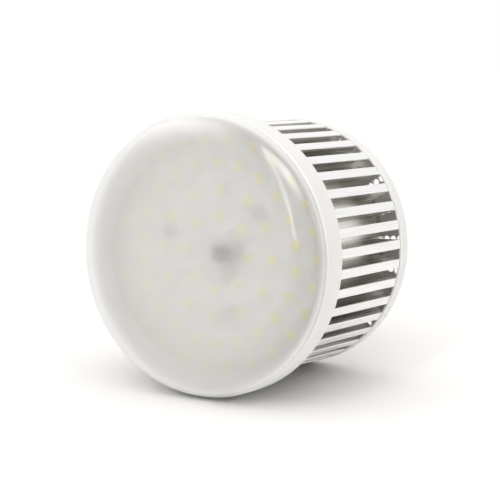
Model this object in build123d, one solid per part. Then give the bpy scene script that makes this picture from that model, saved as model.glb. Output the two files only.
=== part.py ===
"""Photo studio LED bulb: frosted face, folded-fin heat sink, vented rear housing, screw cap.

Millimetres. The axis of the lamp is Z, with the face at the top and the screw cap at the bottom.
The origin is on the axis, on the seat plane where the screw shell meets the neck.
"""
import os
from math import cos, degrees, hypot, radians, sin, sqrt

from build123d import *

# Screw cap
SHELL_R = 13.15            # over the thread crests
SHELL_BORE_R = 11.8        # inside the thread roots
SHELL_LENGTH = 19.5        # threaded wall, below the seat
SHELL_TAPER = 2.5          # turned-in end below the wall
SHELL_MOUTH_R = 8.6        # opening of the turned-in end
SHELL_SHEET = 0.5
INSULATOR_HEIGHT = 3.0
INSULATOR_TIP_R = 5.6
INSULATOR_DISC = 1.6       # disc that closes the shell from inside
CONTACT_R = 4.8
CONTACT_HEIGHT = 2.0
CONTACT_RIVET_R = 1.6

# Front ring and diffuser
RING_R = 62.5              # the face's radius, which the heat sink and the rim follow
RING_HEIGHT = 12.0         # outer wall above the flange
RING_WALL = 1.5
RING_FLANGE = 2.0          # flange that lies on the mounting plate
RING_FLANGE_WIDTH = 5.7
RING_REAR_ROUND = 2.8
RING_FRONT_ROUND = 1.2
SKIRT_DEPTH = 9.0          # cover's skirt inside the ring
SKIRT_WALL = 1.5
COVER_LIP_GAP = 0.1        # cover's lip stands this much inside the ring's wall
COVER_HEIGHT = 13.0        # seam to the middle of the dome
COVER_CROWN_INSET = 10.4   # from the lip to where the dome's flat crown pulls to
COVER_SHOULDER_PULL = 6.5  # how far up the shoulder stays upright
COVER_WALL = 1.8
COVER_LIP_ROUND = 0.7

# Heat sink
FIN_INSET = 5.5            # bars inside the front ring's wall
FIN_DEPTH = 12.0           # bars to core
FIN_SHEET = 0.8
FIN_COUNT = 40
FIN_FIRST_SLOT = 182.95    # degrees
FIN_BAR_SHARE = 0.478      # bar's share of one pitch, the rest is slot
FIN_BEND = 0.5             # outer bend radius of each bar
FIN_LENGTH = 60.2
FIN_TO_RIM = 0.6           # open line between the bars and the rim
CORE_SHEET = 1.5
CORE_ROUND = 4.0           # outer bend of the turned-in rear edge
CORE_FLANGE = 7.0          # flat width of the turned-in edge
MOUNT_PLATE_OVERHANG = 1.0
MOUNT_PLATE_THICKNESS = 2.0

# Rear housing: neck, vented plate and rim
SPIGOT_SHORT = 3.0         # spigot ends this far above the end of the shell's wall
SPIGOT_WALL = 1.8
COLLAR_R = 17.5            # neck just above the seat
COLLAR_HEIGHT = 6.0
NECK_LENGTH = 41.0         # seat to the rear face of the plate
NECK_WALL = 2.2
NECK_TO_SCREWS = 2.25      # from the neck's root to the screw heads
PLATE_THICKNESS = 1.2
RIM_OVERHANG = 0.3         # rim outside the bars
RIM_WALL = 1.0
RIM_DEPTH = 9.0            # inside the rim, plate to front edge
RIM_REAR_ROUND = 5.0
RIM_INNER_ROUND = 4.0      # inside, where the plate meets the rim
RIM_FRONT_ROUND = 0.4
VENT_ROWS = 22
VENT_PER_ROW = 3
VENT_FIRST_ROW = 180.0     # degrees
VENT_R = 1.55
VENT_FROM_RIM = 4.5        # rim's wall to the middle of the outermost vent
VENT_SPACING = 3.3         # from vent to vent along a row
HOUSING_SCREW_COUNT = 4
HOUSING_SCREW_FIRST = 45.0  # degrees

# Light engine
BOARD_THICKNESS = 1.0
LED_RINGS = (              # name, count, share of the board's radius, first angle
    ("outer", 26, 0.935, 190.5),
    ("second", 22, 0.745, 184.6),
    ("third", 12, 0.525, 173.3),
    ("inner", 8, 0.307, 172.5),
)
LED_SIDE = 5.0             # square package
LED_HEIGHT = 1.6
SCREW_CIRCLE_SHARE = 0.51  # of the board's radius
SCREW_FIRST = 98.3         # degrees
SCREW_COUNT = 3
WIRE_HOLE_X = -4.5
WIRE_HOLE_Y = 9.0
WIRE_HOLE_R = 3.5
CONNECTOR_X = -5.4
CONNECTOR_Y = -0.4
CONNECTOR_LENGTH = 13.0
CONNECTOR_WIDTH = 9.0
CONNECTOR_HEIGHT = 5.0

# Pan-head screws
SCREW_SHANK_R = 1.4
SCREW_HEAD_R = 2.75
SCREW_HEAD_HEIGHT = 1.8
SCREW_HOLE_R = 1.7
TAPPED_HOLE_R = 1.45
SCREW_PAST_SHEET = 2.5     # how far a screw stands out of the sheet it bites in

# Driver: feet are measured up from the board's lower edge, sides across from its middle
DRIVER_WIDTH = 40.0
DRIVER_HEIGHT = 72.0
DRIVER_THICKNESS = 1.6
TRANSFORMER_DEPTH = 18.0
TRANSFORMER_WIDTH = 22.0
TRANSFORMER_LENGTH = 20.0
TRANSFORMER_FOOT = 46.0
WINDING_R = 8.5
WINDOW_LENGTH = 11.0       # opening of the transformer's frame
MAINS_CAPACITOR_R = 6.0
MAINS_CAPACITOR_LENGTH = 22.0
MAINS_CAPACITOR_FOOT = 20.0
MAINS_CAPACITOR_SIDE = -11.0
OUTPUT_CAPACITOR_R = 5.0
OUTPUT_CAPACITOR_LENGTH = 18.0
OUTPUT_CAPACITOR_FOOT = 22.0
OUTPUT_CAPACITOR_SIDE = 12.0
CAPACITOR_ROUND = 1.0
CHOKE_R = 4.5
CHOKE_WAIST_R = 3.8
CHOKE_FLANGE = 1.2
CHOKE_WAIST = 7.0
CHOKE_FOOT = 31.0
CHOKE_SIDE = 1.0
FUSE_R = 1.8
FUSE_CAP_R = 2.1
FUSE_CAP = 1.4
FUSE_LENGTH = 8.0
FUSE_FOOT = 6.0
FUSE_SIDE = -11.0
FILM_DEPTH = 6.0
FILM_WIDTH = 12.0
FILM_LENGTH = 10.0
FILM_FOOT = 4.0
FILM_SIDE = 10.0
FILM_EDGE = 0.6
BRIDGE_DEPTH = 4.0
BRIDGE_WIDTH = 7.0
BRIDGE_FOOT = 8.0
BRIDGE_SIDE = -1.0
BRIDGE_CORNER = 1.5
TRANSISTOR_DEPTH = 4.5
TRANSISTOR_WIDTH = 8.0
TRANSISTOR_LENGTH = 15.0
TRANSISTOR_FOOT = 48.0
TRANSISTOR_SIDE = -15.6
TRANSISTOR_EDGE = 0.8
CHIP_DEPTH = 1.5
CHIP_WIDTH = 4.0
CHIP_LENGTH = 5.0
CHIP_FOOT = 36.0
CHIP_SIDE = -7.0
LEAD_R = 0.8
LEAD_BEND = 2.6
LEAD_OVERLAP = 12.0        # length soldered along the driver board
LEAD_SPACING = 2.2
NEUTRAL_LEAD_SIDE = 4.0
FIT = 0.1                  # clearance of every close fit

# Radii worked out from the sizes above
fin_r = RING_R - FIN_INSET
core_r = fin_r - FIN_DEPTH
core_bend_r = core_r - CORE_ROUND
core_mouth_r = core_bend_r - CORE_FLANGE
rim_r = fin_r + RIM_OVERHANG
rim_bore_r = rim_r - RIM_WALL
housing_screw_r = core_bend_r - CORE_FLANGE / 2
neck_root_r = housing_screw_r - SCREW_HEAD_R - NECK_TO_SCREWS
spigot_r = SHELL_BORE_R - FIT
ring_bore_r = RING_R - RING_WALL
skirt_r = ring_bore_r - FIT
flange_bore_r = ring_bore_r - SKIRT_WALL - RING_FLANGE_WIDTH
board_r = flange_bore_r - FIT
driver_face_x = WIRE_HOLE_X + LEAD_R
wire_hole = (WIRE_HOLE_X, WIRE_HOLE_Y)

# Heights worked out from the sizes above
plate_rear_z = NECK_LENGTH
plate_front_z = plate_rear_z + PLATE_THICKNESS
rim_front_z = plate_front_z + RIM_DEPTH
fin_rear_z = rim_front_z + FIN_TO_RIM
fin_front_z = fin_rear_z + FIN_LENGTH
mount_plate_front_z = fin_front_z + MOUNT_PLATE_THICKNESS
board_front_z = mount_plate_front_z + BOARD_THICKNESS
flange_front_z = mount_plate_front_z + RING_FLANGE
seam_z = flange_front_z + RING_HEIGHT
skirt_end_z = seam_z - SKIRT_DEPTH
shell_end_z = -SHELL_LENGTH - SHELL_TAPER
spigot_end_z = SPIGOT_SHORT - SHELL_LENGTH
insulator_end_z = shell_end_z - INSULATOR_HEIGHT
rivet_top_z = shell_end_z + SHELL_SHEET + INSULATOR_DISC


def polar(radius, angle):
    """Point on a circle about the axis, angle in degrees."""
    return radius * cos(radians(angle)), radius * sin(radians(angle))


def turned(profile):
    """Solid of revolution about Z from a closed outline given as radius, height."""
    return revolve(Plane.XZ * make_face(profile), Axis.Z, 360)


def round_rims(solid, radius, height, rounding):
    """Round the circular edge that lies at the given radius and height."""
    rims = [
        edge for edge in solid.edges().filter_by(GeomType.CIRCLE)
        if abs(edge.radius - radius) < 1e-4 and abs(edge.center().Z - height) < 1e-4
    ]
    return fillet(rims, rounding)


def post(at, radius, low, high):
    """Upright cylinder between two heights."""
    return Pos(at[0], at[1], low) * Cylinder(
        radius, high - low, align=(Align.CENTER, Align.CENTER, Align.MIN))


def block(low, high):
    """Box between two corners."""
    size = [b - a for a, b in zip(low, high)]
    return Pos(*low) * Box(*size, align=(Align.MIN, Align.MIN, Align.MIN))


def group(solids):
    """Several separate solids as one sub-part."""
    return Compound(children=list(solids))


def lead(points, bend):
    """Round wire along straight runs joined by arcs."""
    path = FilletPolyline(*points, radius=bend)
    start = Plane(origin=path @ 0, z_dir=path % 0)
    return sweep(start * Circle(LEAD_R), path=path)


def screw_places():
    """Places of the board screws about the axis."""
    circle = board_r * SCREW_CIRCLE_SHARE
    return [polar(circle, SCREW_FIRST + 360 / SCREW_COUNT * k) for k in range(SCREW_COUNT)]


def housing_screw_places():
    """Places of the rear housing's screws about the axis."""
    turn = 360 / HOUSING_SCREW_COUNT
    return [polar(housing_screw_r, HOUSING_SCREW_FIRST + turn * k) for k in range(HOUSING_SCREW_COUNT)]


def neck_outer_r(height):
    """Outer radius of the neck's cone at a height."""
    share = (height - COLLAR_HEIGHT) / (plate_rear_z - COLLAR_HEIGHT)
    return COLLAR_R + (neck_root_r - COLLAR_R) * share


def screw_shell():
    """Envelope of the rolled screw shell, with its turned-in end."""
    outline = Polyline(
        (SHELL_BORE_R, 0), (SHELL_R, 0), (SHELL_R, -SHELL_LENGTH), (SHELL_MOUTH_R, shell_end_z),
        (SHELL_MOUTH_R - SHELL_SHEET, shell_end_z + SHELL_SHEET),
        (SHELL_BORE_R, -SHELL_LENGTH + SHELL_SHEET), close=True)
    return turned(outline)


def base_insulator():
    """Moulded insulator: a disc inside the shell's mouth and a cone below it."""
    disc_low = shell_end_z + SHELL_SHEET
    disc_r = SHELL_MOUTH_R - SHELL_SHEET - FIT
    bore = CONTACT_RIVET_R + FIT
    outline = Polyline(
        (bore, disc_low + INSULATOR_DISC), (disc_r, disc_low + INSULATOR_DISC), (disc_r, shell_end_z),
        (SHELL_MOUTH_R, shell_end_z), (INSULATOR_TIP_R, insulator_end_z), (bore, insulator_end_z), close=True)
    return turned(outline)


def centre_contact():
    """Domed contact button with a rivet shank through the insulator."""
    dome_low = insulator_end_z - CONTACT_HEIGHT
    outline = [
        Line((0, rivet_top_z), (CONTACT_RIVET_R, rivet_top_z)),
        Line((CONTACT_RIVET_R, rivet_top_z), (CONTACT_RIVET_R, insulator_end_z)),
        Line((CONTACT_RIVET_R, insulator_end_z), (CONTACT_R, insulator_end_z)),
        Bezier((CONTACT_R, insulator_end_z), (CONTACT_R, dome_low), (0, dome_low)),
        Line((0, dome_low), (0, rivet_top_z)),
    ]
    return turned(outline)


def vent_places():
    """Places of the vents: rows of holes from the rim inwards."""
    outermost = rim_bore_r - VENT_FROM_RIM
    places = []
    for row in range(VENT_ROWS):
        angle = VENT_FIRST_ROW + 360 / VENT_ROWS * row
        places += [polar(outermost - VENT_SPACING * k, angle) for k in range(VENT_PER_ROW)]
    return places


def rear_housing():
    """One moulding: spigot, tapered neck, vented plate and rim."""
    cavity_low_r = spigot_r - SPIGOT_WALL
    outline = Polyline(
        (cavity_low_r, spigot_end_z), (spigot_r, spigot_end_z), (spigot_r, 0), (COLLAR_R, 0),
        (COLLAR_R, COLLAR_HEIGHT), (neck_root_r, plate_rear_z), (rim_r, plate_rear_z), (rim_r, rim_front_z),
        (rim_bore_r, rim_front_z), (rim_bore_r, plate_front_z),
        (neck_outer_r(plate_front_z) - NECK_WALL, plate_front_z), (COLLAR_R - NECK_WALL, COLLAR_HEIGHT),
        (cavity_low_r, NECK_WALL), close=True)
    housing = turned(outline)
    housing = round_rims(housing, rim_r, plate_rear_z, RIM_REAR_ROUND)
    housing = round_rims(housing, rim_r, rim_front_z, RIM_FRONT_ROUND)
    housing = round_rims(housing, rim_bore_r, plate_front_z, RIM_INNER_ROUND)
    holes = [post(place, SCREW_HOLE_R, plate_rear_z, plate_front_z) for place in housing_screw_places()]
    vent_top_z = plate_front_z + RIM_INNER_ROUND / 2
    holes += [post(place, VENT_R, plate_rear_z, vent_top_z) for place in vent_places()]
    return housing - holes


def housing_screws():
    """Screws that pull the rear housing onto the core's turned-in edge."""
    tip_z = plate_front_z + CORE_SHEET + SCREW_PAST_SHEET
    screws = []
    for place in housing_screw_places():
        head = post(place, SCREW_HEAD_R, plate_rear_z - SCREW_HEAD_HEIGHT, plate_rear_z)
        shank = post(place, SCREW_SHANK_R, plate_rear_z, tip_z)
        screws.append(head + shank)
    return group(screws)


def heat_sink_core():
    """Drawn aluminium can: closed at the front, its rear edge turned in with a round bend."""
    inner_round = CORE_ROUND - CORE_SHEET
    inner_r = core_r - CORE_SHEET
    side_low = plate_front_z + CORE_ROUND
    edge_top = plate_front_z + CORE_SHEET
    lid_low = fin_front_z - CORE_SHEET
    outline = [
        Line((0, fin_front_z), (core_r, fin_front_z)),
        Line((core_r, fin_front_z), (core_r, side_low)),
        RadiusArc((core_r, side_low), (core_bend_r, plate_front_z), CORE_ROUND),
        Line((core_bend_r, plate_front_z), (core_mouth_r, plate_front_z)),
        Line((core_mouth_r, plate_front_z), (core_mouth_r, edge_top)),
        Line((core_mouth_r, edge_top), (core_bend_r, edge_top)),
        RadiusArc((core_bend_r, edge_top), (inner_r, side_low), -inner_round),
        Line((inner_r, side_low), (inner_r, lid_low)),
        Line((inner_r, lid_low), (0, lid_low)),
        Line((0, lid_low), (0, fin_front_z)),
    ]
    core = turned(outline)
    holes = [post(place, TAPPED_HOLE_R, lid_low, fin_front_z) for place in screw_places()]
    holes += [post(place, TAPPED_HOLE_R, plate_front_z, edge_top) for place in housing_screw_places()]
    holes.append(post(wire_hole, WIRE_HOLE_R, lid_low, fin_front_z))
    return core - holes


def fin_outline(bar_r, land_r, inset):
    """Closed wavy outline: bars at one radius, lands at the other, sides parallel to each bar's middle."""
    pitch = 360 / FIN_COUNT
    half_bar = fin_r * sin(radians(pitch * FIN_BAR_SHARE / 2)) - inset
    bar_reach = degrees(half_bar / bar_r)
    land_start = degrees(half_bar / land_r)
    edges = []
    for k in range(FIN_COUNT):
        bar = FIN_FIRST_SLOT + pitch * (k + 0.5)
        following = bar + pitch
        low = polar(bar_r, bar - bar_reach)
        high = polar(bar_r, bar + bar_reach)
        foot = polar(land_r, bar + land_start)
        next_foot = polar(land_r, following - land_start)
        edges += [
            ThreePointArc(low, polar(bar_r, bar), high),
            Line(high, foot),
            ThreePointArc(foot, polar(land_r, bar + pitch / 2), next_foot),
            Line(next_foot, polar(bar_r, following - bar_reach)),
        ]
    return make_face(edges)


def fin_ring():
    """One aluminium strip folded into bars, webs and lands round the core."""
    land_r = core_r + FIT
    section = fin_outline(fin_r, land_r + FIN_SHEET, 0) - fin_outline(fin_r - FIN_SHEET, land_r, FIN_SHEET)
    corners = [v for v in section.vertices() if abs(hypot(v.X, v.Y) - fin_r) < 1e-3]
    section = fillet(corners, FIN_BEND)
    return Pos(0, 0, fin_rear_z) * extrude(section, FIN_LENGTH)


def mounting_plate():
    """Round aluminium plate between the fins and the light engine."""
    plate = post((0, 0), fin_r + MOUNT_PLATE_OVERHANG, fin_front_z, mount_plate_front_z)
    holes = [post(place, SCREW_HOLE_R, fin_front_z, mount_plate_front_z) for place in screw_places()]
    return plate - holes - post(wire_hole, WIRE_HOLE_R, fin_front_z, mount_plate_front_z)


def led_board():
    """Round metal-core board that carries the LEDs."""
    board = post((0, 0), board_r, mount_plate_front_z, board_front_z)
    holes = [post(place, SCREW_HOLE_R, mount_plate_front_z, board_front_z) for place in screw_places()]
    return board - holes - post(wire_hole, WIRE_HOLE_R, mount_plate_front_z, board_front_z)


def led_ring(count, radius, first):
    """Square LED packages on one circle."""
    packages = []
    for k in range(count):
        angle = first + 360 / count * k
        x, y = polar(radius, angle)
        body = Box(LED_SIDE, LED_SIDE, LED_HEIGHT, align=(Align.CENTER, Align.CENTER, Align.MIN))
        packages.append(Pos(x, y, board_front_z) * Rot(0, 0, angle) * body)
    return group(packages)


def board_screws():
    """Screws that hold board and plate to the closed front of the core."""
    tip_z = fin_front_z - CORE_SHEET - SCREW_PAST_SHEET
    screws = []
    for place in screw_places():
        head = post(place, SCREW_HEAD_R, board_front_z, board_front_z + SCREW_HEAD_HEIGHT)
        shank = post(place, SCREW_SHANK_R, tip_z, board_front_z)
        screws.append(head + shank)
    return group(screws)


def board_connector():
    """Push-in terminal block on the board."""
    body = Pos(CONNECTOR_X, CONNECTOR_Y, board_front_z) * Box(
        CONNECTOR_LENGTH, CONNECTOR_WIDTH, CONNECTOR_HEIGHT, align=(Align.CENTER, Align.CENTER, Align.MIN))
    top_edges = body.edges().filter_by(Plane.XY).group_by(Axis.Z)[-1]
    return chamfer(top_edges, LEAD_R)


def front_ring():
    """White ring that carries the diffuser and lies on the mounting plate."""
    ledge_r = ring_bore_r - SKIRT_WALL
    outline = Polyline(
        (flange_bore_r, mount_plate_front_z), (RING_R, mount_plate_front_z), (RING_R, seam_z),
        (ring_bore_r, seam_z), (ring_bore_r, skirt_end_z), (ledge_r, skirt_end_z), (ledge_r, flange_front_z),
        (flange_bore_r, flange_front_z), close=True)
    ring = turned(outline)
    ring = round_rims(ring, RING_R, mount_plate_front_z, RING_REAR_ROUND)
    return round_rims(ring, RING_R, seam_z, RING_FRONT_ROUND)


def diffuser_cover():
    """Frosted dome with an upright skirt that plugs into the front ring."""
    lip_r = RING_R - COVER_LIP_GAP
    inner_r = lip_r - COVER_WALL
    skirt_inner_r = skirt_r - SKIRT_WALL
    crown_r = lip_r - COVER_CROWN_INSET
    top_z = seam_z + COVER_HEIGHT
    outline = [
        Bezier((0, top_z), (crown_r, top_z), (lip_r, seam_z + COVER_SHOULDER_PULL), (lip_r, seam_z)),
        Line((lip_r, seam_z), (skirt_r, seam_z)),
        Line((skirt_r, seam_z), (skirt_r, skirt_end_z)),
        Line((skirt_r, skirt_end_z), (skirt_inner_r, skirt_end_z)),
        Line((skirt_inner_r, skirt_end_z), (skirt_inner_r, seam_z)),
        Bezier((skirt_inner_r, seam_z), (inner_r, seam_z + COVER_SHOULDER_PULL - COVER_WALL / 2),
               (crown_r - COVER_WALL, top_z - COVER_WALL), (0, top_z - COVER_WALL)),
        Line((0, top_z - COVER_WALL), (0, top_z)),
    ]
    return round_rims(turned(outline), lip_r, seam_z, COVER_LIP_ROUND)


def driver_low_z():
    """Height at which the driver board's lower corners meet the neck's tapered wall."""
    corner_r = hypot(DRIVER_WIDTH / 2, driver_face_x) + FIT
    slope = (neck_root_r - COLLAR_R) / (plate_rear_z - COLLAR_HEIGHT)
    return COLLAR_HEIGHT + (corner_r + NECK_WALL - COLLAR_R) / slope


driver_z = driver_low_z()
driver_top_z = driver_z + DRIVER_HEIGHT
parts_x = driver_face_x + DRIVER_THICKNESS


def driver_board():
    """Upright driver board, wedged in the neck."""
    half = DRIVER_WIDTH / 2
    return block((driver_face_x, -half, driver_z), (parts_x, half, driver_top_z))


def on_driver(side, foot, depth, width, length):
    """Box-shaped component that stands on the driver board."""
    low_z = driver_z + foot
    return block((parts_x, side - width / 2, low_z), (parts_x + depth, side + width / 2, low_z + length))


def along_driver(side, foot, radius, length):
    """Round component that lies along the driver board."""
    low_z = driver_z + foot
    return post((parts_x + radius, side), radius, low_z, low_z + length)


def transformer():
    """Flyback transformer: ferrite frame round a wound bobbin."""
    frame = on_driver(0, TRANSFORMER_FOOT, TRANSFORMER_DEPTH, TRANSFORMER_WIDTH, TRANSFORMER_LENGTH)
    middle = Pos(parts_x + TRANSFORMER_DEPTH / 2, 0, driver_z + TRANSFORMER_FOOT + TRANSFORMER_LENGTH / 2)
    window = middle * Box(TRANSFORMER_DEPTH, TRANSFORMER_WIDTH, WINDOW_LENGTH)
    return (frame - window) + middle * Rot(0, 90, 0) * Cylinder(WINDING_R, TRANSFORMER_DEPTH)


def mains_capacitor():
    """Mains electrolytic capacitor with a rounded end."""
    can = along_driver(
        MAINS_CAPACITOR_SIDE, MAINS_CAPACITOR_FOOT, MAINS_CAPACITOR_R, MAINS_CAPACITOR_LENGTH)
    return fillet(can.edges().group_by(Axis.Z)[-1], CAPACITOR_ROUND)


def output_capacitor():
    """Output electrolytic capacitor with a rounded end."""
    can = along_driver(
        OUTPUT_CAPACITOR_SIDE, OUTPUT_CAPACITOR_FOOT, OUTPUT_CAPACITOR_R, OUTPUT_CAPACITOR_LENGTH)
    return fillet(can.edges().group_by(Axis.Z)[-1], CAPACITOR_ROUND)


def line_choke():
    """Drum choke: two flanges on a wound body."""
    axis = Pos(parts_x, CHOKE_SIDE, driver_z + CHOKE_FOOT) * Rot(0, 90, 0)
    low = (Align.CENTER, Align.CENTER, Align.MIN)
    drum = axis * Cylinder(CHOKE_R, CHOKE_FLANGE, align=low)
    drum += axis * Pos(0, 0, CHOKE_FLANGE) * Cylinder(CHOKE_WAIST_R, CHOKE_WAIST, align=low)
    return drum + axis * Pos(0, 0, CHOKE_FLANGE + CHOKE_WAIST) * Cylinder(CHOKE_R, CHOKE_FLANGE, align=low)


def fuse_resistor():
    """Fusible resistor with wider end caps that rest on the driver board."""
    axis = (parts_x + FUSE_CAP_R, FUSE_SIDE)
    low_z = driver_z + FUSE_FOOT
    high_z = low_z + FUSE_LENGTH
    body = post(axis, FUSE_R, low_z, high_z)
    body += post(axis, FUSE_CAP_R, low_z, low_z + FUSE_CAP)
    return body + post(axis, FUSE_CAP_R, high_z - FUSE_CAP, high_z)


def film_capacitor():
    """Boxed film capacitor."""
    body = on_driver(FILM_SIDE, FILM_FOOT, FILM_DEPTH, FILM_WIDTH, FILM_LENGTH)
    return chamfer(body.edges().filter_by(Axis.X), FILM_EDGE)


def bridge_rectifier():
    """Bridge rectifier with a chamfered corner."""
    body = on_driver(BRIDGE_SIDE, BRIDGE_FOOT, BRIDGE_DEPTH, BRIDGE_WIDTH, BRIDGE_WIDTH)
    corner = body.edges().filter_by(Axis.X).group_by(Axis.Z)[-1].sort_by(Axis.Y)[-1:]
    return chamfer(corner, BRIDGE_CORNER)


def switching_transistor():
    """Moulded power transistor."""
    body = on_driver(TRANSISTOR_SIDE, TRANSISTOR_FOOT, TRANSISTOR_DEPTH, TRANSISTOR_WIDTH, TRANSISTOR_LENGTH)
    return chamfer(body.edges().filter_by(Axis.Y).group_by(Axis.X)[-1], TRANSISTOR_EDGE)


def control_chip():
    """Small control chip on the solder side of the driver board."""
    low_z = driver_z + CHIP_FOOT
    half = CHIP_WIDTH / 2
    return block((driver_face_x - CHIP_DEPTH, CHIP_SIDE - half, low_z),
                 (driver_face_x, CHIP_SIDE + half, low_z + CHIP_LENGTH))


def led_lead(offset, level):
    """Lead from the driver board, through the wire hole, into the connector at one level."""
    y = WIRE_HOLE_Y + offset
    z = board_front_z + level
    connector_side_y = CONNECTOR_Y + CONNECTOR_WIDTH / 2
    low = (WIRE_HOLE_X, y, driver_top_z - LEAD_OVERLAP)
    return lead([low, (WIRE_HOLE_X, y, z), (WIRE_HOLE_X, connector_side_y, z)], LEAD_BEND)


def live_lead():
    """Lead from the driver board down to the contact's rivet."""
    high = (WIRE_HOLE_X, 0, driver_z + LEAD_OVERLAP)
    turn = (WIRE_HOLE_X, 0, driver_z - LEAD_OVERLAP / 2)
    return lead([high, turn, (0, 0, 0), (0, 0, rivet_top_z)], LEAD_BEND)


def neutral_lead():
    """Lead from the driver board down to the bare inside of the shell, below the spigot."""
    run_x = -(spigot_r - SPIGOT_WALL - LEAD_R - FIT)
    end_z = spigot_end_z - 2 * LEAD_R
    end_x = -sqrt(SHELL_BORE_R ** 2 - LEAD_R ** 2)
    high = (WIRE_HOLE_X, NEUTRAL_LEAD_SIDE, driver_z + LEAD_OVERLAP)
    turn = (WIRE_HOLE_X, NEUTRAL_LEAD_SIDE, driver_z - LEAD_OVERLAP / 2)
    return lead([high, turn, (run_x, 0, 0), (run_x, 0, end_z), (end_x, 0, end_z)], LEAD_R)


def assembly():
    """Every sub-part by name."""
    parts = {
        "screw_shell": screw_shell(),
        "base_insulator": base_insulator(),
        "centre_contact": centre_contact(),
        "rear_housing": rear_housing(),
        "housing_screws": housing_screws(),
        "heat_sink_core": heat_sink_core(),
        "fin_ring": fin_ring(),
        "mounting_plate": mounting_plate(),
        "led_board": led_board(),
        "board_screws": board_screws(),
        "board_connector": board_connector(),
        "front_ring": front_ring(),
        "diffuser_cover": diffuser_cover(),
        "driver_board": driver_board(),
        "transformer": transformer(),
        "mains_capacitor": mains_capacitor(),
        "output_capacitor": output_capacitor(),
        "line_choke": line_choke(),
        "fuse_resistor": fuse_resistor(),
        "film_capacitor": film_capacitor(),
        "bridge_rectifier": bridge_rectifier(),
        "switching_transistor": switching_transistor(),
        "control_chip": control_chip(),
        "positive_led_lead": led_lead(-LEAD_SPACING / 2, 2 * LEAD_R),
        "negative_led_lead": led_lead(LEAD_SPACING / 2, 4 * LEAD_R + FIT),
        "live_lead": live_lead(),
        "neutral_lead": neutral_lead(),
    }
    for name, count, share, first in LED_RINGS:
        parts[f"leds_{name}_ring"] = led_ring(count, board_r * share, first)
    return parts


os.makedirs("parts", exist_ok=True)
for node, shape in assembly().items():
    export_step(shape, f"parts/{node}.step")
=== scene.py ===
"""Looks of the photo studio LED bulb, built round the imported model. Metres, in the model's own frame."""
import math

import bmesh
import bpy
from mathutils import Matrix, Vector


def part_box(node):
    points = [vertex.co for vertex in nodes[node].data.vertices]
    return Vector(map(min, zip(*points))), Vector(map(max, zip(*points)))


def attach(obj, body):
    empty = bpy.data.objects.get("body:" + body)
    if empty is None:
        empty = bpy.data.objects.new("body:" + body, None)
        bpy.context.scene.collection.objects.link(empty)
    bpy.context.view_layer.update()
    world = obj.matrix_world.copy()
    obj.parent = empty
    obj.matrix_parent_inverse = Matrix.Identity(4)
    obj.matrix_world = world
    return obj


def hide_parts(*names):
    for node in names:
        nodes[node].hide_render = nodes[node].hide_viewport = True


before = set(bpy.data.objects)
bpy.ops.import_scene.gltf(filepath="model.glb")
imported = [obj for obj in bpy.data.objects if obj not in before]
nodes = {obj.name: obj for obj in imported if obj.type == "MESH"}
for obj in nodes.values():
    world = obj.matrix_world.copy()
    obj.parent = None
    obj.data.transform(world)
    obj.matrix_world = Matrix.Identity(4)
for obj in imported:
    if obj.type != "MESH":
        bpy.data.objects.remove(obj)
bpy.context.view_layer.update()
scene = bpy.context.scene
MM = 0.001

# Cover, in millimetres. Its lip stands a little inside and above the ring, which shows as a groove
SEAM_Z = 128.0
LIP_R = 61.8
LIP_ROUND = 0.5
LIP_LIFT = 0.5
CROWN_R = 52.0
COVER_TOP_Z = 141.0
SHOULDER_PULL = 6.5
COVER_WALL = 1.8
INNER_BLEND = 2.5        # above the seam, where the inside leaves the dome for the skirt
INNER_BLEND_END = 1.0    # below the seam, where it has reached the skirt
SKIRT_R = 60.9
SKIRT_INNER_R = 59.4
SKIRT_END_Z = 119.0
COVER_SEGMENTS = 256
DOME_STEPS = 64
BLEND_STEPS = 16

# Board and LED packages: node, count, share of the board's radius and first angle of each circle
BOARD_FRONT_Z = 115.0
BOARD_R = 53.7
LED_RINGS = (
    ("leds_outer_ring", 26, 0.935, 190.5),
    ("leds_second_ring", 22, 0.745, 184.6),
    ("leds_third_ring", 12, 0.525, 173.3),
    ("leds_inner_ring", 8, 0.307, 172.5),
)
LED_SIDES = 24
LED_HALF = 2.5
LED_HEIGHT = 1.6
LED_CORNER = 0.4
LED_CORNER_PULL = 0.246
LED_EDGE_IN = 0.14
LED_EDGE_DROP = 0.18
LED_WINDOW_R = 2.15
LED_CUP_IN = 0.08
LED_CUP_DEPTH = 0.12

# Connector and the seal beside it
CONNECTOR_LOW, CONNECTOR_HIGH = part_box("board_connector")
CONNECTOR_ROUND = 1.6
CONNECTOR_EDGE = 0.5
CONNECTOR_EDGE_STEP = 0.15
POCKET_ROUND = 1.2
POCKET_TAPER = 0.1
POCKET_SIDES = (-4.5, 4.6, -2.7, 3.4)
POCKET_DEPTH = 0.9
SEAL_AT = (-4.5, 9.0)
SEAL_R = 4.6
SEAL_HEIGHT = 2.0
SEAL_SHOULDER = 0.8
SEAL_CROWN = 0.6
SEAL_LUMP = 0.06
SEAL_LOBES = 3
SEAL_TURN = 0.7
SEAL_SEGMENTS = 48
SEAL_STEPS = 12

# Screw cap: the thread fades in below the seat and out above the turned-in end
SHELL_CREST_R = 13.15
SHELL_ROOT_R = 12.2
SHELL_PLAIN_R = 12.8
SHELL_LENGTH = 19.5
SHELL_PITCH = 3.63
FADE_IN_FROM = 1.2
FADE_IN_OVER = 2.4
FADE_OUT_FROM = 0.6
FADE_OUT_OVER = 2.0
SHELL_END = ((12.5, -20.1), (11.6, -20.8), (10.4, -21.4), (9.2, -21.85), (8.6, -22.0), (8.2, -21.6))
SHELL_BORE = ((11.8, -19.4), (11.8, 0.0))
SHELL_SEGMENTS = 128
SHELL_ROWS = 190

# Edges sharper than these stay sharp, in degrees
SHARP = 32
THREAD_SHARP = 40

# Steps round a corner, and the radius under which a point counts as on the axis
ROUND_STEPS = 6
ON_AXIS = 1e-6

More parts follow.
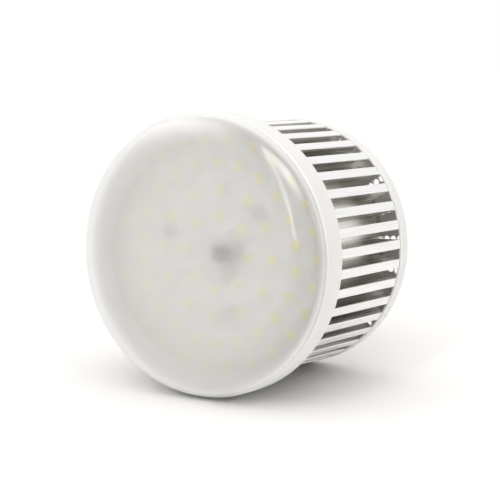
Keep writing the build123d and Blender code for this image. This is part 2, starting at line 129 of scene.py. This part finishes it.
# Fins: bars outside this band of radius, webs and lands inside it, which carry painted shade
FIN_R = 57.0
BAR_BACK = 1.3
BAR_FRONT = 0.35
BAR_BAND = ((FIN_R - BAR_BACK) * MM, (FIN_R - BAR_FRONT) * MM)

# Frosting of the cover: bands of radius, and bands of facing, which is 0 head on and 1 edge on
TONE_BAND = (46 * MM, 57 * MM)
SHOULDER_BAND = (20 * MM, 58 * MM)
LIP_BAND = (60.0 * MM, 61.4 * MM)
GRAZING_BAND = (0.24, 0.5)
SLANT_BAND = (0.16, 0.50)
HEAD_ON_BAND = (0.0, 0.22)
GLOSS_BAND = (0.06, 0.30)
SLANT_FULL = 1.1
CLEAR_HEAD_ON = 0.72
CLEAR_TURNED = 0.60
CLEAR_SLANT = 0.11
CLEAR_LIP = 0.5
COVER_GLOSS = 0.09
COVER_DULL = 0.26
INSIDE_ROUGH = 0.28
COVER_IOR = 1.46

# Camera, at the photograph's viewing angle
CAMERA_RIGHT = Vector((-0.84905, 0.04545, -0.52636))
CAMERA_UP = Vector((0.0, -0.99629, -0.08602))
CAMERA_BACK = Vector((-0.52831, -0.07304, 0.84590))
CAMERA_AT = (-434.15 * MM, -59.01 * MM, (SEAM_Z + 656.27) * MM)
SENSOR = 36
LENS = 130.81
CLIP_START = 0.05

# Floor: the lamp lies on its front ring and its rear rim
FLOOR_UP = Vector((-0.101, -0.992, 0.0734)).normalized()
FLOOR_POINT = Vector((6.3, 62.2, 117.0)) * MM
FLOOR_HALF = 3.0
FLOOR_COLOUR = (0.95, 0.95, 0.95, 1)

# Light: where the lights stand, how a softbox fades from its middle, and the studio's brightness
LAMP_MIDDLE = Vector((0, 0, 0.085))
LIGHT_DISTANCE = 1.3
FEATHER_FROM = 0.08
FEATHER_TO = 0.5
SKY_SIDE = 0.44
SKY_TOP = 1.3
SKY_POWER = 2
SKY_TINT = (1, 0.985, 0.965, 1)
WHITE = (1, 1, 1, 1)


def polar(radius, angle):
    return Vector((radius * math.cos(math.radians(angle)), radius * math.sin(math.radians(angle)), 0))


def new_object(name, data):
    obj = bpy.data.objects.new(name, data)
    scene.collection.objects.link(obj)
    return obj


def facing(origin, x_axis, y_axis, z_axis):
    """Matrix that places an object at an origin with the given axes."""
    return Matrix((
        (x_axis.x, y_axis.x, z_axis.x, origin[0]),
        (x_axis.y, y_axis.y, z_axis.y, origin[1]),
        (x_axis.z, y_axis.z, z_axis.z, origin[2]),
        (0, 0, 0, 1)))


def shade(mesh, angle):
    """Smooth shading that keeps edges sharper than the angle."""
    for polygon in mesh.polygons:
        polygon.use_smooth = True
    mesh.set_sharp_from_angle(angle=math.radians(angle))


def finished(bm, name, sharp=None):
    """Object from a closed or open skin, with its faces turned outward."""
    bmesh.ops.recalc_face_normals(bm, faces=bm.faces)
    mesh = bpy.data.meshes.new(name)
    bm.to_mesh(mesh)
    bm.free()
    if sharp is not None:
        shade(mesh, sharp)
    return new_object(name, mesh)


def round_loop(bm, r, z, segments):
    """Corners of a circle about Z, from millimetres."""
    corners = []
    for k in range(segments):
        angle = 2 * math.pi * k / segments
        corners.append(bm.verts.new((r * MM * math.cos(angle), r * MM * math.sin(angle), z * MM)))
    return corners


def bridge(bm, low, high, material=0):
    """Band of faces between two loops."""
    for k in range(len(low)):
        n = (k + 1) % len(low)
        corners = (low[k], low[n], high[n], high[k])
        bm.faces.new(corners).material_index = material


def bezier(a, b, c, d, count):
    points = []
    for k in range(count + 1):
        t = k / count
        u = 1 - t
        weights = (u ** 3, 3 * u * u * t, 3 * u * t * t, t ** 3)
        points.append(tuple(sum(w * p[i] for w, p in zip(weights, (a, b, c, d))) for i in (0, 1)))
    return points


def rounded(corners):
    """Closed outline from corners given as two coordinates and a rounding."""
    points = []
    total = len(corners)
    for k, (x, y, rounding) in enumerate(corners):
        here = Vector((x, y))
        if rounding <= 0:
            points.append((x, y))
            continue
        before = (Vector(corners[k - 1][:2]) - here).normalized()
        after = (Vector(corners[(k + 1) % total][:2]) - here).normalized()
        half = before.angle(after) / 2
        reach = rounding / math.tan(half)
        start = here + before * reach
        stop = here + after * reach
        centre = here + (before + after).normalized() * (rounding / math.sin(half))
        first = start - centre
        turn = first.angle_signed(stop - centre)
        for s in range(ROUND_STEPS + 1):
            arm = first.copy()
            arm.rotate(Matrix.Rotation(-turn * s / ROUND_STEPS, 2))
            points.append(tuple(centre + arm))
    return points


def lathe(name, outline, segments, split=None):
    """Skin of revolution about Z from an open outline of radius and height in millimetres.

    Faces from outline step split onward take the second material.
    """
    bm = bmesh.new()
    rings = []
    for r, z in outline:
        if r < ON_AXIS:
            rings.append([bm.verts.new((0, 0, z * MM))] * segments)
        else:
            rings.append(round_loop(bm, r, z, segments))
    for i, (low, high) in enumerate(zip(rings, rings[1:])):
        for k in range(segments):
            n = (k + 1) % segments
            corners = [low[k], low[n], high[n], high[k]]
            corners = [v for j, v in enumerate(corners) if v not in corners[:j]]
            if len(corners) > 2:
                face = bm.faces.new(corners)
                face.material_index = int(split is not None and i >= split)
    return finished(bm, name, SHARP)


class Look:
    """A material with one Principled shader and small helpers for its node tree."""

    def __init__(self, name, color, roughness, metallic=0.0):
        self.material = bpy.data.materials.new(name)
        self.material.use_nodes = True
        self.tree = self.material.node_tree
        self.shader = self.tree.nodes["Principled BSDF"]
        self.set("Base Color", (*color, 1))
        self.set("Roughness", roughness)
        self.set("Metallic", metallic)

    def set(self, socket, value):
        self.shader.inputs[socket].default_value = value

    def add(self, kind, **settings):
        node = self.tree.nodes.new(kind)
        for key, value in settings.items():
            setattr(node, key, value)
        return node

    def link(self, source, target):
        self.tree.links.new(source, target)

    def place(self, scale):
        """Position in the model's frame, scaled."""
        coordinates = self.add("ShaderNodeTexCoord")
        mapping = self.add("ShaderNodeMapping")
        mapping.inputs["Scale"].default_value = scale
        self.link(coordinates.outputs["Object"], mapping.inputs["Vector"])
        return mapping.outputs["Vector"]

    def noise(self, scale, detail=3.0, roughness=0.55):
        texture = self.add("ShaderNodeTexNoise")
        texture.inputs["Scale"].default_value = 1.0
        texture.inputs["Detail"].default_value = detail
        texture.inputs["Roughness"].default_value = roughness
        self.link(self.place(scale), texture.inputs["Vector"])
        return texture.outputs["Fac"]

    def spread(self, value, low, high, source=(0.3, 0.7), kind="LINEAR"):
        """Map a value to a range."""
        node = self.add("ShaderNodeMapRange", interpolation_type=kind)
        node.inputs["From Min"].default_value = source[0]
        node.inputs["From Max"].default_value = source[1]
        node.inputs["To Min"].default_value = low
        node.inputs["To Max"].default_value = high
        self.link(value, node.inputs["Value"])
        return node.outputs["Result"]

    def mix(self, factor, first, second):
        """Mix two colours, each a tuple or a socket."""
        node = self.add("ShaderNodeMix", data_type="RGBA")
        self.link(factor, node.inputs["Factor"])
        for socket, colour in ((node.inputs[6], first), (node.inputs[7], second)):
            if isinstance(colour, tuple):
                socket.default_value = (*colour, 1)
            else:
                self.link(colour, socket)
        return node.outputs[2]

    def combine(self, operation, first, second):
        node = self.add("ShaderNodeMath", operation=operation)
        self.link(first, node.inputs[0])
        self.link(second, node.inputs[1])
        return node.outputs[0]

    def colour(self, socket):
        self.link(socket, self.shader.inputs["Base Color"])

    def tint(self, pattern, low, high, source=(0.3, 0.7)):
        """Colour between two tones, after a pattern."""
        self.colour(self.mix(self.spread(pattern, 0, 1, source), low, high))

    def rough(self, socket):
        self.link(socket, self.shader.inputs["Roughness"])

    def bump(self, height, distance, strength):
        node = self.add("ShaderNodeBump")
        node.inputs["Strength"].default_value = strength
        node.inputs["Distance"].default_value = distance
        self.link(height, node.inputs["Height"])
        self.link(node.outputs["Normal"], self.shader.inputs["Normal"])

    def radius(self):
        """Distance from the lamp's axis, in metres."""
        flat = self.add("ShaderNodeVectorMath", operation="MULTIPLY")
        flat.inputs[1].default_value = (1, 1, 0)
        self.link(self.place((1, 1, 1)), flat.inputs[0])
        length = self.add("ShaderNodeVectorMath", operation="LENGTH")
        self.link(flat.outputs["Vector"], length.inputs[0])
        return length.outputs["Value"]


def dress(obj, *looks):
    if obj.data.materials:
        obj.data.materials.clear()
    for look in looks:
        obj.data.materials.append(look.material)


# Materials
def white_plastic():
    look = Look("white_plastic", (0.87, 0.865, 0.85), 0.38)
    tone = look.noise((60, 60, 60), 2)
    look.tint(tone, (0.86, 0.853, 0.836), (0.885, 0.88, 0.866))
    grain = look.noise((2200, 2200, 2200), 2)
    look.rough(look.spread(grain, 0.32, 0.46))
    look.bump(grain, 0.00003, 0.35)
    look.set("Specular IOR Level", 0.5)
    return look


def brushed_aluminium():
    """Fine streaks along the bars, broad ones on the webs and lands, which are also smoother. The webs and
    lands take a darker, warmer tone with wide light and dark streaks: painted shade and painted streaky
    reflections.
    """
    look = Look("brushed_aluminium", (0.9, 0.9, 0.9), 0.35, 1.0)
    streaks = look.noise((5200, 5200, 45), 3, 0.6)
    coarse = look.noise((680, 680, 6), 4, 0.65)
    outer = look.spread(look.radius(), 0, 1, BAR_BAND)
    bar = look.mix(look.spread(streaks, 0, 1), (0.80, 0.79, 0.785), (0.96, 0.95, 0.945))
    # Painted shade and painted streaky reflections: the webs and lands deep in the slots get a darker,
    # warmer tone than the bars, in broad light and dark streaks
    shaded_web = look.mix(look.spread(coarse, 0, 1, (0.40, 0.60)), (0.58, 0.57, 0.53), (0.97, 0.96, 0.92))
    look.colour(look.mix(outer, shaded_web, bar))
    look.rough(look.spread(look.combine("MAXIMUM", outer, coarse), 0.27, 0.46, (0.4, 1)))
    look.bump(streaks, 0.00004, 0.25)
    return look


def drawn_aluminium():
    look = Look("drawn_aluminium", (0.5, 0.5, 0.48), 0.3, 1.0)
    streaks = look.noise((900, 900, 16), 4, 0.7)
    # Painted shade and painted streaky reflections: a darker tone than the bars, in wide light and dark
    # streaks along the axis
    look.tint(streaks, (0.50, 0.48, 0.44), (0.90, 0.89, 0.85), (0.36, 0.64))
    look.rough(look.spread(streaks, 0.30, 0.14))
    look.bump(streaks, 0.0001, 0.35)
    return look


def frosted_cover():
    """Clear head on, milky where the line of sight slants through the shoulder, denser at the lip."""
    look = Look("frosted_cover", (0.97, 0.965, 0.955), COVER_GLOSS)
    grain = look.noise((1700, 1700, 1700), 2)
    face = look.mix(look.spread(grain, 0, 1), (0.965, 0.96, 0.95), (0.985, 0.98, 0.97))
    edge = look.mix(look.spread(grain, 0, 1), (0.86, 0.855, 0.845), (0.90, 0.895, 0.885))
    look.colour(look.mix(look.spread(look.radius(), 0, 1, TONE_BAND), face, edge))
    turned = look.add("ShaderNodeLayerWeight").outputs["Facing"]
    shoulder = look.spread(look.radius(), 0, SLANT_FULL, SHOULDER_BAND)
    grazing = look.spread(turned, 0, SLANT_FULL, GRAZING_BAND)
    slant = look.combine("MULTIPLY", turned, look.combine("MAXIMUM", shoulder, grazing))
    head_on = look.spread(turned, CLEAR_HEAD_ON, CLEAR_TURNED, HEAD_ON_BAND)
    clear = look.combine("MULTIPLY", head_on, look.spread(slant, 1.0, CLEAR_SLANT, SLANT_BAND))
    lip = look.spread(look.radius(), 1, CLEAR_LIP, LIP_BAND, "SMOOTHSTEP")
    look.link(look.combine("MULTIPLY", clear, lip), look.shader.inputs["Transmission Weight"])
    look.rough(look.spread(turned, COVER_GLOSS, COVER_DULL, GLOSS_BAND))
    look.set("IOR", COVER_IOR)
    look.set("Specular IOR Level", 0.5)
    return look


def frosted_inside():
    look = Look("frosted_inside", (0.985, 0.98, 0.97), INSIDE_ROUGH)
    grain = look.noise((1700, 1700, 1700), 2)
    look.tint(grain, (0.98, 0.975, 0.965), (0.99, 0.985, 0.975))
    look.set("Transmission Weight", 1.0)
    look.set("IOR", COVER_IOR)
    return look


def board_mask():
    look = Look("board_mask", (0.88, 0.88, 0.87), 0.45)
    tone = look.noise((90, 90, 90), 2)
    look.tint(tone, (0.80, 0.80, 0.795), (0.845, 0.845, 0.835))
    look.rough(look.spread(tone, 0.4, 0.5))
    return look


def led_phosphor():
    look = Look("led_phosphor", (0.97, 0.84, 0.15), 0.4)
    tone = look.noise((900, 900, 900), 2)
    look.tint(tone, (0.97, 0.85, 0.09), (0.985, 0.89, 0.15))
    look.rough(look.spread(tone, 0.35, 0.5))
    return look


def led_case():
    look = Look("led_case", (0.9, 0.9, 0.88), 0.4)
    tone = look.noise((1200, 1200, 1200), 2)
    look.rough(look.spread(tone, 0.35, 0.5))
    return look


def plain_metal(name, low, high):
    look = Look(name, low, 0.35, 1.0)
    tone = look.noise((1500, 1500, 1500), 3)
    look.tint(tone, low, high)
    look.rough(look.spread(tone, 0.25, 0.45))
    look.bump(tone, 0.00002, 0.15)
    return look


def moulded(name, color, roughness):
    look = Look(name, color, roughness)
    grain = look.noise((1800, 1800, 1800), 2)
    look.rough(look.spread(grain, roughness - 0.08, roughness + 0.08))
    look.bump(grain, 0.00004, 0.3)
    return look


def laminate():
    look = Look("driver_laminate", (0.16, 0.3, 0.16), 0.4)
    tone = look.noise((400, 400, 400), 3)
    look.tint(tone, (0.13, 0.26, 0.13), (0.20, 0.36, 0.19))
    look.rough(look.spread(tone, 0.35, 0.5))
    return look


white = white_plastic()
fins = brushed_aluminium()
core = drawn_aluminium()
cover_look = frosted_cover()
cover_inside = frosted_inside()
mask = board_mask()
phosphor = led_phosphor()
case = led_case()
screw_look = plain_metal("screw_steel", (0.40, 0.39, 0.37), (0.60, 0.59, 0.57))
nickel = plain_metal("nickel", (0.62, 0.60, 0.56), (0.78, 0.76, 0.72))
plate = plain_metal("plate_aluminium", (0.72, 0.715, 0.70), (0.84, 0.835, 0.82))
black = moulded("black_plastic", (0.03, 0.03, 0.032), 0.42)
green = laminate()
winding = moulded("winding", (0.50, 0.32, 0.07), 0.4)
sleeve = moulded("capacitor_sleeve", (0.05, 0.06, 0.09), 0.3)
film = moulded("film_box", (0.52, 0.37, 0.09), 0.3)
red = moulded("red_wire", (0.50, 0.04, 0.03), 0.45)
pale = moulded("white_wire", (0.78, 0.78, 0.76), 0.45)
nylon = moulded("nylon", (0.45, 0.42, 0.38), 0.45)
silicone = moulded("silicone", (0.60, 0.60, 0.58), 0.4)

for name, look in {
    "front_ring": white, "rear_housing": white, "fin_ring": fins, "heat_sink_core": core,
    "mounting_plate": plate, "led_board": mask, "base_insulator": black, "centre_contact": nickel,
    "driver_board": green, "transformer": winding, "mains_capacitor": sleeve, "output_capacitor": sleeve,
    "line_choke": black, "fuse_resistor": pale, "film_capacitor": film, "bridge_rectifier": black,
    "switching_transistor": black, "control_chip": black, "positive_led_lead": red,
    "negative_led_lead": pale, "live_lead": red, "neutral_lead": pale, "board_screws": screw_look,
    "housing_screws": screw_look,
}.items():
    dress(nodes[name], look)


# Frosted cover
def beside(points, distance):
    """The line at a distance inside an outline that runs from the axis outward and down."""
    line = []
    for k, (r, z) in enumerate(points):
        before = points[max(k - 1, 0)]
        after = points[min(k + 1, len(points) - 1)]
        along = Vector((after[0] - before[0], after[1] - before[1])).normalized()
        line.append((max(0.0, r + along.y * distance) if k else 0.0, z - along.x * distance))
    return line


def make_cover():
    low = SEAM_Z + LIP_LIFT
    outer = bezier((0, COVER_TOP_Z), (CROWN_R, COVER_TOP_Z), (LIP_R, SEAM_Z + SHOULDER_PULL),
                   (LIP_R, SEAM_Z), DOME_STEPS)
    lip = rounded([(LIP_R, COVER_TOP_Z, 0), (LIP_R, low, LIP_ROUND), (SKIRT_R, low, 0)])[1:-1]
    inner = [p for p in beside(outer, COVER_WALL) if p[1] > SEAM_Z + INNER_BLEND]
    blend = Vector(inner[-1])
    onward = blend + (blend - Vector(inner[-2])).normalized() * (INNER_BLEND / 2)
    inner += bezier(tuple(blend), tuple(onward), (SKIRT_INNER_R, SEAM_Z + INNER_BLEND / 2),
                    (SKIRT_INNER_R, SEAM_Z - INNER_BLEND_END), BLEND_STEPS)[1:]
    inner.reverse()
    outline = [p for p in outer if p[1] > low + LIP_ROUND] + lip
    outline += [(SKIRT_R, low), (SKIRT_R, SKIRT_END_Z)]
    inside_from = len(outline)
    outline += [(SKIRT_INNER_R, SKIRT_END_Z)] + inner
    obj = lathe("frosted_dome", outline, COVER_SEGMENTS, inside_from)
    dress(obj, cover_look, cover_inside)
    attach(obj, "root")
    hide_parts("diffuser_cover")


make_cover()


# LED packages: square case, round cup, phosphor sunk a little below its edge
def square_loop(half):
    """Points round a square with softened corners, as many as the cup's circle has."""
    points = []
    for k in range(LED_SIDES):
        angle = 2 * math.pi * (k + 0.5) / LED_SIDES
        x = math.cos(angle)
        y = math.sin(angle)
        small = min(abs(x), abs(y))
        reach = half / max(abs(x), abs(y))
        excess = max(0.0, small * reach - (half - LED_CORNER))
        reach -= LED_CORNER_PULL * excess * small / LED_CORNER
        points.append((x * reach, y * reach))
    return points


def cup_loop(radius):
    angles = [2 * math.pi * (k + 0.5) / LED_SIDES for k in range(LED_SIDES)]
    return [(radius * math.cos(angle), radius * math.sin(angle)) for angle in angles]


def make_leds(node, count, share, first):
    layers = (
        (square_loop(LED_HALF), 0.0),
        (square_loop(LED_HALF), LED_HEIGHT - LED_EDGE_DROP),
        (square_loop(LED_HALF - LED_EDGE_IN), LED_HEIGHT),
        (cup_loop(LED_WINDOW_R), LED_HEIGHT),
        (cup_loop(LED_WINDOW_R - LED_CUP_IN), LED_HEIGHT - LED_CUP_DEPTH),
    )
    bm = bmesh.new()
    for k in range(count):
        angle = first + 360 / count * k
        spot = Matrix.Translation(polar(BOARD_R * share * MM, angle))
        spot = spot @ Matrix.Rotation(math.radians(angle), 4, "Z")
        rings = []
        for points, z in layers:
            rings.append([bm.verts.new(spot @ Vector((x * MM, y * MM, (BOARD_FRONT_Z + z) * MM)))
                          for x, y in points])
        bm.faces.new(rings[0][::-1])
        for low, high in zip(rings, rings[1:]):
            bridge(bm, low, high)
        bm.faces.new(rings[-1]).material_index = 1
    obj = finished(bm, node + "_packages")
    dress(obj, case, phosphor)
    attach(obj, "root")
    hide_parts(node)


for ring in LED_RINGS:
    make_leds(*ring)


# Connector: nylon shell, open at the top over a dark insert
def soft_rectangle(sides, inset, rounding, z):
    x0 = sides[0] + inset
    x1 = sides[1] - inset
    y0 = sides[2] + inset
    y1 = sides[3] - inset
    corners = [(x0, y0, rounding), (x1, y0, rounding), (x1, y1, rounding), (x0, y1, rounding)]
    return [(x, y, z) for x, y in rounded(corners)]


def make_connector():
    low = Vector(CONNECTOR_LOW) / MM
    high = Vector(CONNECTOR_HIGH) / MM
    middle_x = (low.x + high.x) / 2
    middle_y = (low.y + high.y) / 2
    shell = (low.x, high.x, low.y, high.y)
    left, right, near, far = POCKET_SIDES
    pocket = (middle_x + left, middle_x + right, middle_y + near, middle_y + far)
    loops = [
        soft_rectangle(shell, 0, CONNECTOR_ROUND, low.z),
        soft_rectangle(shell, 0, CONNECTOR_ROUND, high.z - CONNECTOR_EDGE),
        soft_rectangle(shell, CONNECTOR_EDGE_STEP, CONNECTOR_ROUND - CONNECTOR_EDGE_STEP,
                       high.z - CONNECTOR_EDGE_STEP),
        soft_rectangle(shell, CONNECTOR_EDGE, CONNECTOR_ROUND - CONNECTOR_EDGE, high.z),
        soft_rectangle(pocket, 0, POCKET_ROUND, high.z),
        soft_rectangle(pocket, POCKET_TAPER, POCKET_ROUND - POCKET_TAPER, high.z - POCKET_DEPTH),
    ]
    pocket_wall = len(loops) - 2
    bm = bmesh.new()
    rings = [[bm.verts.new(Vector(p) * MM) for p in points] for points in loops]
    bm.faces.new(rings[0])
    for number, (lower, upper) in enumerate(zip(rings, rings[1:])):
        bridge(bm, lower, upper, int(number == pocket_wall))
    bm.faces.new(rings[-1]).material_index = 1
    obj = finished(bm, "connector_shell", SHARP)
    dress(obj, nylon, black)
    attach(obj, "root")
    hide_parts("board_connector")


make_connector()


# Silicone seal round the leads where they come through the board
def make_seal():
    top = BOARD_FRONT_Z + SEAL_HEIGHT
    shoulder = BOARD_FRONT_Z + SEAL_HEIGHT * SEAL_SHOULDER
    outline = bezier((SEAL_R, BOARD_FRONT_Z), (SEAL_R, shoulder), (SEAL_R * SEAL_CROWN, top), (0, top),
                     SEAL_STEPS)
    obj = lathe("lead_seal", [(0, BOARD_FRONT_Z)] + outline, SEAL_SEGMENTS)
    for vertex in obj.data.vertices:
        angle = math.atan2(vertex.co.y, vertex.co.x)
        lump = 1 + SEAL_LUMP * math.sin(SEAL_LOBES * angle + SEAL_TURN)
        vertex.co.x = vertex.co.x * lump + SEAL_AT[0] * MM
        vertex.co.y = vertex.co.y * lump + SEAL_AT[1] * MM
    dress(obj, silicone)
    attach(obj, "root")


make_seal()


# Screw cap with its rolled thread
def thread_loop(bm, z):
    """Corners at one height of the thread, which is a wave round and along the shell."""
    fade_in = min(1, max(0, (-z - FADE_IN_FROM) / FADE_IN_OVER))
    fade_out = min(1, max(0, (SHELL_LENGTH + z - FADE_OUT_FROM) / FADE_OUT_OVER))
    fade = fade_in * fade_out
    corners = []
    for k in range(SHELL_SEGMENTS):
        angle = 2 * math.pi * k / SHELL_SEGMENTS
        wave = 0.5 + 0.5 * math.cos(2 * math.pi * z / SHELL_PITCH - angle)
        thread = SHELL_ROOT_R + (SHELL_CREST_R - SHELL_ROOT_R) * wave
        r = SHELL_PLAIN_R * (1 - fade) + thread * fade
        corners.append(bm.verts.new((r * MM * math.cos(angle), r * MM * math.sin(angle), z * MM)))
    return corners


def make_shell():
    bm = bmesh.new()
    levels = [thread_loop(bm, -SHELL_LENGTH * i / SHELL_ROWS) for i in range(SHELL_ROWS + 1)]
    levels += [round_loop(bm, r, z, SHELL_SEGMENTS) for r, z in SHELL_END + SHELL_BORE]
    levels.append(levels[0])
    for low, high in zip(levels, levels[1:]):
        bridge(bm, low, high)
    obj = finished(bm, "threaded_shell", THREAD_SHARP)
    dress(obj, nickel)
    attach(obj, "root")
    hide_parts("screw_shell")


make_shell()


def make_camera():
    data = bpy.data.cameras.new("camera")
    data.sensor_width = SENSOR
    data.lens = LENS
    data.clip_start = CLIP_START
    camera = new_object("camera", data)
    camera.matrix_world = facing(CAMERA_AT, CAMERA_RIGHT, CAMERA_UP, CAMERA_BACK)
    scene.camera = camera


make_camera()


def make_floor():
    """Pale floor that is clear from below, so that it never stands between a view and the lamp."""
    bm = bmesh.new()
    bmesh.ops.create_grid(bm, x_segments=1, y_segments=1, size=FLOOR_HALF)
    mesh = bpy.data.meshes.new("floor")
    bm.to_mesh(mesh)
    bm.free()
    obj = new_object("floor", mesh)
    side = FLOOR_UP.cross(Vector((0, 0, 1))).normalized()
    obj.matrix_world = facing(FLOOR_POINT, side, FLOOR_UP.cross(side), FLOOR_UP)
    material = bpy.data.materials.new("floor")
    material.use_nodes = True
    tree = material.node_tree
    tree.nodes.clear()
    output = tree.nodes.new("ShaderNodeOutputMaterial")
    diffuse = tree.nodes.new("ShaderNodeBsdfDiffuse")
    diffuse.inputs["Color"].default_value = FLOOR_COLOUR
    clear = tree.nodes.new("ShaderNodeBsdfTransparent")
    geometry = tree.nodes.new("ShaderNodeNewGeometry")
    sides = tree.nodes.new("ShaderNodeMixShader")
    tree.links.new(geometry.outputs["Backfacing"], sides.inputs[0])
    tree.links.new(diffuse.outputs[0], sides.inputs[1])
    tree.links.new(clear.outputs[0], sides.inputs[2])
    tree.links.new(sides.outputs[0], output.inputs["Surface"])
    obj.data.materials.append(material)


make_floor()


# Soft light: a tall strip beside the camera, two softboxes for the gloss and a studio brightest overhead
ahead = (CAMERA_BACK - FLOOR_UP * CAMERA_BACK.dot(FLOOR_UP)).normalized()
aside = ahead.cross(FLOOR_UP).normalized()
if aside.dot(CAMERA_RIGHT) < 0:
    aside = -aside


def feather(data):
    """Let a lamp fade out toward its edges, as cloth over a softbox does."""
    data.use_nodes = True
    tree = data.node_tree
    emission = tree.nodes["Emission"]
    geometry = tree.nodes.new("ShaderNodeNewGeometry")
    centred = tree.nodes.new("ShaderNodeVectorMath")
    centred.operation = "SUBTRACT"
    centred.inputs[1].default_value = (0.5, 0.5, 0)
    tree.links.new(geometry.outputs["Parametric"], centred.inputs[0])
    flat = tree.nodes.new("ShaderNodeVectorMath")
    flat.operation = "MULTIPLY"
    flat.inputs[1].default_value = (1, 1, 0)
    tree.links.new(centred.outputs[0], flat.inputs[0])
    distance = tree.nodes.new("ShaderNodeVectorMath")
    distance.operation = "LENGTH"
    tree.links.new(flat.outputs[0], distance.inputs[0])
    fade = tree.nodes.new("ShaderNodeMapRange")
    fade.interpolation_type = "SMOOTHSTEP"
    fade.inputs["From Min"].default_value = FEATHER_FROM
    fade.inputs["From Max"].default_value = FEATHER_TO
    fade.inputs["To Min"].default_value = 1
    fade.inputs["To Max"].default_value = 0
    tree.links.new(distance.outputs["Value"], fade.inputs["Value"])
    tree.links.new(fade.outputs["Result"], emission.inputs["Strength"])


def soft_light(name, turn, lift, width, height, radiance, lights_all=True):
    """Rectangle turned to the camera's right and lifted above the floor, both in degrees.

    One that doesn't light everything is seen only in glossy surfaces, with soft edges.
    """
    level = ahead * math.cos(math.radians(turn)) + aside * math.sin(math.radians(turn))
    toward = level * math.cos(math.radians(lift)) + FLOOR_UP * math.sin(math.radians(lift))
    data = bpy.data.lights.new(name, "AREA")
    data.shape = "RECTANGLE"
    data.size = width
    data.size_y = height
    data.energy = radiance * math.pi * width * height
    if not lights_all:
        feather(data)
    obj = new_object(name, data)
    obj.visible_camera = False
    obj.visible_diffuse = lights_all
    obj.visible_transmission = lights_all
    across = FLOOR_UP.cross(toward).normalized()
    obj.matrix_world = facing(LAMP_MIDDLE + toward * LIGHT_DISTANCE, across, toward.cross(across), toward)


soft_light("strip", turn=-26, lift=33, width=0.11, height=1.3, radiance=5.2)
soft_light("softbox", turn=-84, lift=43, width=1.7, height=1.15, radiance=5.6, lights_all=False)
soft_light("top_softbox", turn=-2, lift=47, width=1.25, height=1.0, radiance=9.5, lights_all=False)


def make_world():
    """Light that grows toward the zenith.

    Seen directly, mirrored or through the cover, it is plain white.
    """
    world = bpy.data.worlds.new("studio")
    scene.world = world
    world.use_nodes = True
    tree = world.node_tree
    tree.nodes.clear()

    def add(kind, operation=None):
        node = tree.nodes.new(kind)
        if operation:
            node.operation = operation
        return node

    coordinates = add("ShaderNodeTexCoord")
    height = add("ShaderNodeVectorMath", "DOT_PRODUCT")
    height.inputs[1].default_value = FLOOR_UP
    tree.links.new(coordinates.outputs["Generated"], height.inputs[0])
    above = add("ShaderNodeMath", "MAXIMUM")
    above.inputs[1].default_value = 0
    tree.links.new(height.outputs["Value"], above.inputs[0])
    raised = add("ShaderNodeMath", "POWER")
    raised.inputs[1].default_value = SKY_POWER
    tree.links.new(above.outputs[0], raised.inputs[0])
    level = add("ShaderNodeMath", "MULTIPLY_ADD")
    level.inputs[1].default_value = SKY_TOP
    level.inputs[2].default_value = SKY_SIDE
    tree.links.new(raised.outputs[0], level.inputs[0])
    fill = add("ShaderNodeBackground")
    fill.inputs["Color"].default_value = SKY_TINT
    tree.links.new(level.outputs[0], fill.inputs["Strength"])
    shown = add("ShaderNodeBackground")
    shown.inputs["Color"].default_value = WHITE
    path = add("ShaderNodeLightPath")
    seen = add("ShaderNodeMath", "MAXIMUM")
    tree.links.new(path.outputs["Is Camera Ray"], seen.inputs[0])
    tree.links.new(path.outputs["Is Glossy Ray"], seen.inputs[1])
    also = add("ShaderNodeMath", "MAXIMUM")
    tree.links.new(seen.outputs[0], also.inputs[0])
    tree.links.new(path.outputs["Is Transmission Ray"], also.inputs[1])
    choose = add("ShaderNodeMixShader")
    tree.links.new(also.outputs[0], choose.inputs[0])
    tree.links.new(fill.outputs[0], choose.inputs[1])
    tree.links.new(shown.outputs[0], choose.inputs[2])
    output = add("ShaderNodeOutputWorld")
    tree.links.new(choose.outputs[0], output.inputs["Surface"])


make_world()

scene.view_settings.view_transform = "Standard"
